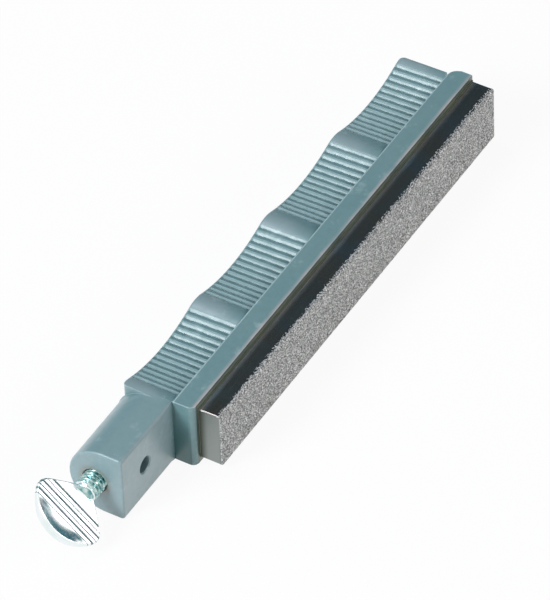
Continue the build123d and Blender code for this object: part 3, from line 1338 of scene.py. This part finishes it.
@dataclass
class ThumbScrew:
    """The thumb screw: a rolled thread and a pressed flat head, grooved and lipped on both faces.

    The head is a disc cut off by two straight shoulders that spread out from the neck. Its own
    places are given along it from the shoulder, across it and above its mid plane.
    """

    stone: StoneFrame
    axis_y: float = 15.0
    shoulder: float = -23.0
    tip: float = -14.2
    crest_radius: float = 2.4
    root_radius: float = 1.95
    thread_pitch: float = 0.794
    crest_flat: float = 0.16
    tip_chamfer: float = 0.5
    thread_end: float = 1.1
    thread_root: float = 0.8
    inner_share: float = 0.85
    rings_per_turn: int = 16
    thread_sides: int = 80

    head_turn: float = 40.0
    half_thickness: float = 0.85
    taper: float = 0.25
    rim_round: float = 0.42
    rim_squareness: float = 2.6
    shoulder_half: float = 1.5
    shoulder_slope: float = 1.25
    disc_radius: float = 8.15
    disc_centre: float = 3.85
    corner_blend: float = 1.6
    head_offset: float = 0.12
    offset_run: float = 4.0
    head_rows: int = 80
    half_row: int = 60
    thick_rows: tuple[float, int] = (0.27, 13)
    thin_rows: tuple[float, int] = (0.14, 5)
    shortest_row: float = 0.02
    end_gap: float = 0.01
    halvings: int = 40

    neck_start_radius: float = 1.85
    neck_length: float = 2.1
    neck_side_length: float = 2.0
    neck_blend: float = 0.5
    least_blend: float = 0.02
    neck_bend: float = 0.8
    # The thread's darker, tealer zinc, as painted shade, reaches onto the neck this far along the head and
    # this far past the neck's radius.
    neck_shade_end: float = 1.5
    neck_shade_beyond: float = 0.1

    thick_grooves: tuple[float, ...] = (3.95, 5.67, 7.42)
    thin_grooves: tuple[float, ...] = (4.8, 6.55, 8.28)
    thick_width: float = 0.46
    thick_depth: float = 0.22
    thin_width: float = 0.22
    thin_depth: float = 0.1
    lip_start: float = 7.8
    lip_full: float = 9.4
    lip_height: float = 0.55
    lip_rim: float = 0.15
    lip_wall: float = 3.3
    lip_half_width: float = 6.7
    lip_fade: float = 3.6

    def inside(self, along: np.ndarray, across: np.ndarray) -> np.ndarray:
        """Work out how far inside the head's outline points are.

        Args:
            along: The points' places along the head.
            across: Their places across it.

        Returns:
            The distances, below zero outside.
        """
        off_centre = across - self.head_offset * smooth_step(0, self.offset_run, along)
        spread = self.shoulder_half + self.shoulder_slope * along - np.abs(off_centre)
        side = spread / math.hypot(1, self.shoulder_slope)
        disc = self.disc_radius - np.hypot(along - self.disc_centre, off_centre)
        return -smooth_max(-side, -disc, self.corner_blend)

    def reach(self, along: np.ndarray, sign: int) -> np.ndarray:
        """Find the head's outline on one side, by halving the range that holds it.

        Args:
            along: Places along the head.
            sign: -1 or 1, for the side.

        Returns:
            How far across the head reaches there, with the side's sign.
        """
        low, high = np.zeros_like(along), np.full_like(along, 2 * self.disc_radius)
        for _ in range(self.halvings):
            middle = (low + high) / 2
            within = self.inside(along, sign * middle) > 0
            low, high = np.where(within, middle, low), np.where(within, high, middle)
        neck = self.neck_start_radius * (1 - along / self.neck_side_length)
        return sign * np.maximum(low, neck)

    def neck_radius(self, along: np.ndarray) -> np.ndarray:
        """Return the neck's height on its axis, which falls off into the flat head."""
        return self.neck_start_radius * (1 - (along / self.neck_length) ** 2)

    def neck_drop(self, across: np.ndarray) -> np.ndarray:
        """Work out how far the neck falls off across: round on top and straight farther down.

        Args:
            across: Places across the neck.

        Returns:
            The fall there.
        """
        radius = self.neck_start_radius
        bend = math.sin(self.neck_bend) * radius
        on_round = np.minimum(np.abs(across), bend)
        beyond = np.maximum(np.abs(across) - bend, 0)
        return radius - np.sqrt(radius ** 2 - on_round ** 2) + math.tan(self.neck_bend) * beyond

    def height(self, along: np.ndarray, across: np.ndarray) -> np.ndarray:
        """Work out the head's half thickness, with its grooves, its raised lip, its neck and its rim.

        Args:
            along: The points' places along the head.
            across: Their places across it.

        Returns:
            The height of the head's face above its mid plane.
        """
        inside = self.inside(along, across)
        flat = self.half_thickness - self.taper * np.clip(along / self.lip_start, 0, 1)
        for places, width, depth in (
            (self.thick_grooves, self.thick_width, self.thick_depth),
            (self.thin_grooves, self.thin_width, self.thin_depth),
        ):
            for place in places:
                flat -= depth * np.clip(1 - np.abs(along - place) / (width / 2), 0, 1)
        lip = (1 - np.clip((inside - self.lip_rim) / self.lip_wall, 0, 1)) ** 2
        fade = smooth_step(self.lip_half_width, self.lip_half_width - self.lip_fade, np.abs(across))
        flat += self.lip_height * lip * fade * smooth_step(self.lip_start, self.lip_full, along)
        to_rim = 1 - np.clip(inside / self.rim_round, 0, 1)
        flat *= (1 - to_rim ** self.rim_squareness) ** (1 / self.rim_squareness)
        neck = self.neck_radius(along) - self.neck_drop(across)
        blend = self.neck_blend * np.clip(inside / self.neck_blend, self.least_blend, 1)
        return smooth_max(flat, neck, blend)

    def turn_into_place(self, places: np.ndarray) -> np.ndarray:
        """Turn points from the screw's own frame, with its axis at y = 0, into the stone's frame."""
        turn = Matrix.Rotation(math.radians(self.head_turn), 3, "X")
        return places @ np.array(turn).T + np.array([self.shoulder, self.axis_y, 0.0])

    def head_places(self) -> np.ndarray:
        """Choose the head's rows, close together at its grooves and its ends.

        Returns:
            Their places along the head.
        """
        length = self.disc_centre + self.disc_radius
        coarse = (1 - np.cos(np.linspace(0, math.pi, self.head_rows))) / 2 * length
        fine = []
        for grooves, (reach, count) in (
            (self.thick_grooves, self.thick_rows),
            (self.thin_grooves, self.thin_rows),
        ):
            fine += [np.linspace(place - reach, place + reach, count) for place in grooves]
        along = np.unique(np.round(np.concatenate([coarse, *fine]), 3))
        along = along[(along == 0) | (along > self.shortest_row)]
        return along[along < length - self.end_gap]

    def make_head(self) -> Piece:
        """Make the head as rows across it.

        Returns:
            The head and its neck.
        """
        along = self.head_places()
        share = np.sin(np.linspace(0, math.pi / 2, self.half_row + 1))
        left, right = self.reach(along, -1)[:, None], self.reach(along, 1)[:, None]
        across = np.concatenate([left * share[::-1], right * share[1:]], axis=1)
        lengthways = np.repeat(along[:, None], across.shape[1], axis=1)
        lift = self.height(lengthways, across)
        draft = Draft()
        top, bottom = (
            draft.add(self.turn_into_place(np.stack([-lengthways, across, side * lift], axis=-1)))
            for side in (1, -1)
        )
        draft.skin(np.concatenate([top, bottom[:, ::-1]], axis=1), closed=True)
        for end in (0, -1):
            draft.skin(np.stack([top[end], bottom[end]]))
        return draft.make("head_solid", self.stone)

    def make_shank(self) -> Piece:
        """Make the shank with its helical thread, which runs out on the neck and at the tip.

        Returns:
            The shank.
        """
        inner = self.thread_end + self.thread_root
        length = self.tip - self.shoulder
        count = round((length + inner) / self.thread_pitch * self.rings_per_turn)
        x = np.linspace(-inner, length, count)[:, None]
        turn = np.linspace(0, 2 * math.pi, self.thread_sides, endpoint=False)[None, :]
        phase = (x / self.thread_pitch - turn / (2 * math.pi)) % 1
        climb = np.clip((1 - np.abs(2 * phase - 1) - self.crest_flat) / (1 - 2 * self.crest_flat), 0, 1)
        ridge = self.crest_radius - self.neck_start_radius
        neck = self.neck_radius(-x)
        on_neck = neck + ridge * (1 + np.minimum(x, 0) / self.thread_end)
        below = np.where(x < -self.thread_end, self.inner_share * neck, on_neck)
        crest = np.where(x < 0, below, self.crest_radius)
        radius = crest - (self.crest_radius - self.root_radius) * climb
        radius = np.minimum(radius, self.crest_radius - self.tip_chamfer + (length - x))
        lengthways = np.repeat(x, self.thread_sides, axis=1)
        places = np.stack([lengthways, radius * np.cos(turn), radius * np.sin(turn)], axis=-1)
        draft = Draft()
        draft.tube(places + np.array([self.shoulder, self.axis_y, 0.0]))
        return draft.make("shank_solid", self.stone)

    def build(self) -> Piece:
        """Join the head and the shank into one solid.

        Returns:
            The thumb screw.
        """
        piece = self.make_head()
        combine(piece, [self.make_shank()], "UNION")
        piece.name = "thumb_screw_solid"
        smooth(piece, sharp_degrees=32)
        return piece

    def dress(self, piece: Piece) -> None:
        """Give the head the bright plate, the thread and neck a darker copy with a stronger cast as painted
        shade, and the grooves a darker, duller copy as painted shade.

        Args:
            piece: The thumb screw.
        """
        # The thread and neck take a darker copy of the zinc with a stronger teal cast: painted shade over the
        # plate's cast.
        thread = BlueZinc("shaded_zinc_on_thread", metal_colour="#cde0dc", cast_colour="#64999a", cast_mm=1.1)
        # Faces in the head's grooves take a darker, duller copy of the zinc as painted shade.
        dull = Ramp(0.3, 0.7, 0.51, 0.41)
        shaded_grooves = BlueZinc("groove_shaded_zinc", metal_colour="#7f9193", cast_colour="#667a7d", gloss=dull)
        finishes = [BlueZinc("blue_zinc"), thread, shaded_grooves]
        hand_over(piece, Body.SCREW, Slot.ZINC, "thumb_screw", finishes)
        shoulder, axis_y, axis_z = self.stone.place((self.shoulder, self.axis_y, 0))
        grooves = np.array(self.thick_grooves + self.thin_grooves)
        halves = np.repeat([self.thick_width / 2, self.thin_width / 3], len(self.thick_grooves))
        for face in piece.data.polygons:
            along = (shoulder - face.center.x) / MM
            off_axis = math.hypot(face.center.y - axis_y, face.center.z - axis_z) / MM
            in_shaded_groove = (np.abs(grooves - along) < halves).any()
            by_axis = off_axis < self.neck_start_radius + self.neck_shade_beyond
            on_neck = along < self.neck_shade_end and by_axis
            face.material_index = 1 if along < 0 or on_neck else 2 if in_shaded_groove else 0


def straight_rays(add: Adder) -> Node:
    """Tell the rays that come from the camera, mirrors and glass from the others.

    Args:
        add: Adds a node to a tree.

    Returns:
        A node that gives 1 for them and 0 for the others.
    """
    ray = add("LightPath").outputs
    seen = add("Math", {"operation": "MAXIMUM", 0: ray["Is Camera Ray"], 1: ray["Is Glossy Ray"]})
    return add("Math", {"operation": "MAXIMUM", 0: seen, 1: ray["Is Transmission Ray"]})


@dataclass(frozen=True)
class Paper(Finish):
    """White studio paper: matt, and white to the camera wherever no shadow falls.

    Attributes:
        glow: The share of the paper's white that doesn't come from the lamps.
    """

    colour: str = "#f4f4f4"
    white: str = "#ffffff"
    glow: float = 0.92
    fibre_mm: float = 2.5
    gloss: Ramp = Ramp(0.0, 1.0, 0.95, 0.85)

    def surface(self, add: Adder, place: Socket) -> Node:
        """Mix the paper's own white in for rays from the camera, mirrors and glass.

        Args:
            add: Adds a node to the material's tree.
            place: The point in the scene's frame at rest, in metres.

        Returns:
            The surface's shader.
        """
        fibres = add("TexNoise", {"Scale": scale(self.fibre_mm), "Vector": place})
        rough = add("MapRange", self.gloss.of(fibres))
        paper = add("BsdfPrincipled", {"Base Color": linear(self.colour), "Roughness": rough})
        share = add("Math", {"operation": "MULTIPLY", 0: straight_rays(add), 1: self.glow})
        white = add("Emission", {"Color": linear(self.white), "Strength": 1.0})
        return add("MixShader", {0: share, 1: paper, 2: white})


@dataclass(frozen=True)
class DarkScreen(Finish):
    """A screen that glows with painted dark blue-grey tones and painted white light at one end, which metal
    and plastic reflect.

    Its ramps are over scene places, in metres.
    """

    colour: str = "#4a4c48"
    other_colour: str = "#364b5c"
    # A painted teal tone low down on the screen.
    painted_low_colour: str = "#2f6672"
    # Painted white light glowing at the screen's one end.
    painted_light_colour: str = "#ffffff"
    cloud_m: float = 0.09
    clouds: Ramp = Ramp(0.42, 0.58)
    low: Ramp = Ramp(0.45, 0.25)
    glowing_end: Ramp = Ramp(-0.33, -0.42, soft=True)

    def surface(self, add: Adder, place: Socket) -> Node:
        """Let the screen glow with its painted dark tones, a painted teal tone low down and painted white
        light at one end.

        Args:
            add: Adds a node to the material's tree.
            place: The point in the scene's frame at rest, in metres.

        Returns:
            The surface's shader.
        """
        clouds = add("TexNoise", {"Scale": 1 / self.cloud_m, "Detail": 1.0, "Vector": place})
        away = add("SeparateXYZ", {0: place}).outputs
        tone = linear(self.colour)
        for colour, ramp, value in (
            (self.other_colour, self.clouds, clouds),
            (self.painted_low_colour, self.low, away["Z"]),
            (self.painted_light_colour, self.glowing_end, away["Y"]),
        ):
            share = add("MapRange", ramp.of(value))
            tone = add("Mix", {"data_type": "RGBA", "Factor": share, "A": tone, "B": linear(colour)})
        return add("Emission", {"Color": tone})


@dataclass(frozen=True)
class Lamp:
    """A square soft lamp.

    Attributes:
        name: The lamp's name.
        direction: The direction from the stone to the lamp.
        size: Its side, in metres.
        watts: Its power.
        colour: Its light's colour.
    """

    name: str
    direction: tuple[float, float, float]
    size: float
    watts: float
    colour: str


@dataclass
class Studio:
    """The floor, the lamps, the dark screen, the surroundings and the camera.

    Directions run from the stone to the lamp. The camera was worked out from the
    photograph's edges, so its roll and distance are the photograph's own.
    """

    stone: StoneFrame
    stone_middle: tuple[float, float, float] = (50.0, 8.0, 0.0)
    floor_size: float = 12.0
    camera_azimuth: float = -57.576
    camera_elevation: float = 44.174
    camera_roll: float = -2.455
    camera_distance: float = 1319.4
    camera_aim: tuple[float, float, float] = (20.83, 0.24, 18.24)
    clip: tuple[float, float] = (0.05, 50.0)
    picture_width: float = 550.0
    focal_pixels: float = 7187.0
    sensor_width: float = 36.0
    surroundings: float = 0.21
    lamps: tuple[Lamp, ...] = (
        Lamp("key", (-0.74, 0.36, 0.57), 0.60, 16.5, "#f5fbff"),
        Lamp("top", (0.08, 0.38, 0.92), 0.46, 3.6, "#f3ecff"),
        Lamp("fill", (0.05, -0.88, 0.45), 0.6, 5.4, "#fff8f6"),
        Lamp("rim", (0.60, -0.64, 0.47), 0.36, 1.2, "#ffe6f0"),
    )
    lamp_distance: float = 1.4
    screen_radius: float = 0.6
    screen_height: float = 0.95
    screen_foot: float = -7.4
    screen_azimuths: tuple[float, float] = (-45.0, 80.0)
    screen_panels: int = 22

    def add_floor(self) -> None:
        """Lay the white paper that the stone rests on."""
        bpy.ops.mesh.primitive_plane_add(size=self.floor_size)
        floor = bpy.context.object
        floor.name = "floor"
        floor.data.materials.append(Paper("studio_paper").make())

    def add_screen(self) -> None:
        """Stand a dark curved screen beyond the stone, which only reflections show."""
        turn = np.radians(np.linspace(*self.screen_azimuths, self.screen_panels + 1))
        ring = np.stack([np.cos(turn), np.sin(turn), np.zeros_like(turn)], axis=1) * self.screen_radius / MM
        foot = np.array([*self.stone_middle[:2], self.screen_foot])
        top = ring + np.array([0.0, 0.0, self.screen_height / MM])
        draft = Draft()
        draft.skin(draft.add(np.array([ring, top]) + foot))
        screen = draft.make("dark_screen", self.stone)
        screen.data.materials.append(DarkScreen("dark_screen").make())
        screen.visible_camera = screen.visible_diffuse = False
        screen.visible_shadow = screen.visible_transmission = False

    def add_lamp(self, lamp: Lamp) -> None:
        """Hang a lamp in its direction from the stone, facing it.

        Args:
            lamp: The lamp.
        """
        light = bpy.data.lights.new(lamp.name, "AREA")
        light.shape, light.size, light.energy = "SQUARE", lamp.size, lamp.watts
        light.color = linear(lamp.colour)[:3]
        hung = new_object(lamp.name, light)
        back = Vector(lamp.direction).normalized()
        hung.location = Vector(self.stone.place(self.stone_middle)) + back * self.lamp_distance
        hung.rotation_euler = back.to_track_quat("Z", "Y").to_euler()
        hung.visible_camera = False

    def add_surroundings(self) -> None:
        """Light the scene evenly, and show white to the camera and in reflections."""
        world = bpy.data.worlds.new("studio")
        bpy.context.scene.world = world
        world.use_nodes = True
        tree = world.node_tree
        tree.nodes.clear()
        add = partial(add_node, tree)
        level = add("MapRange", Ramp(0.0, 1.0, 1.0, self.surroundings).of(straight_rays(add)))
        sky = add("Background", {"Color": linear("#ffffff"), "Strength": level})
        add("OutputWorld", {"Surface": sky})

    def add_camera(self) -> None:
        """Set the camera up as the photograph's."""
        data = bpy.data.cameras.new("camera")
        data.sensor_fit = "HORIZONTAL"
        data.sensor_width = self.sensor_width
        data.lens = self.focal_pixels / self.picture_width * self.sensor_width
        data.clip_start, data.clip_end = self.clip
        camera = new_object("camera", data)
        azimuth, elevation = math.radians(self.camera_azimuth), math.radians(self.camera_elevation)
        level = math.cos(elevation)
        back = Vector((math.sin(azimuth) * level, -math.cos(azimuth) * level, math.sin(elevation)))
        camera.location = Vector(self.stone.place(self.camera_aim)) + back * self.camera_distance * MM
        upright = back.to_track_quat("Z", "Y").to_matrix()
        roll = Matrix.Rotation(math.radians(self.camera_roll), 3, "Z")
        camera.rotation_euler = (upright @ roll).to_euler()
        bpy.context.scene.camera = camera

    def build(self) -> None:
        """Set the whole studio up."""
        bpy.context.scene.view_settings.view_transform = "Standard"
        self.add_floor()
        self.add_screen()
        for lamp in self.lamps:
            self.add_lamp(lamp)
        self.add_surroundings()
        self.add_camera()


def main() -> None:
    """Build and dress every piece, then set the studio up round them."""
    logging.basicConfig(level=logging.INFO, format="%(name)s: %(message)s")
    stone = StoneFrame.from_diamond_layer()
    for kind in (Holder, AdhesiveBed, SteelBar, DiamondLayer, ThumbScrew):
        assembly = kind(stone)
        piece = assembly.build()
        assembly.dress(piece)
        triangles = sum(len(face.vertices) - 2 for face in piece.data.polygons)
        log.info("%s is built and dressed, with %d triangles", piece.name, triangles)
    Studio(stone).build()


if __name__ == "__main__":
    main()
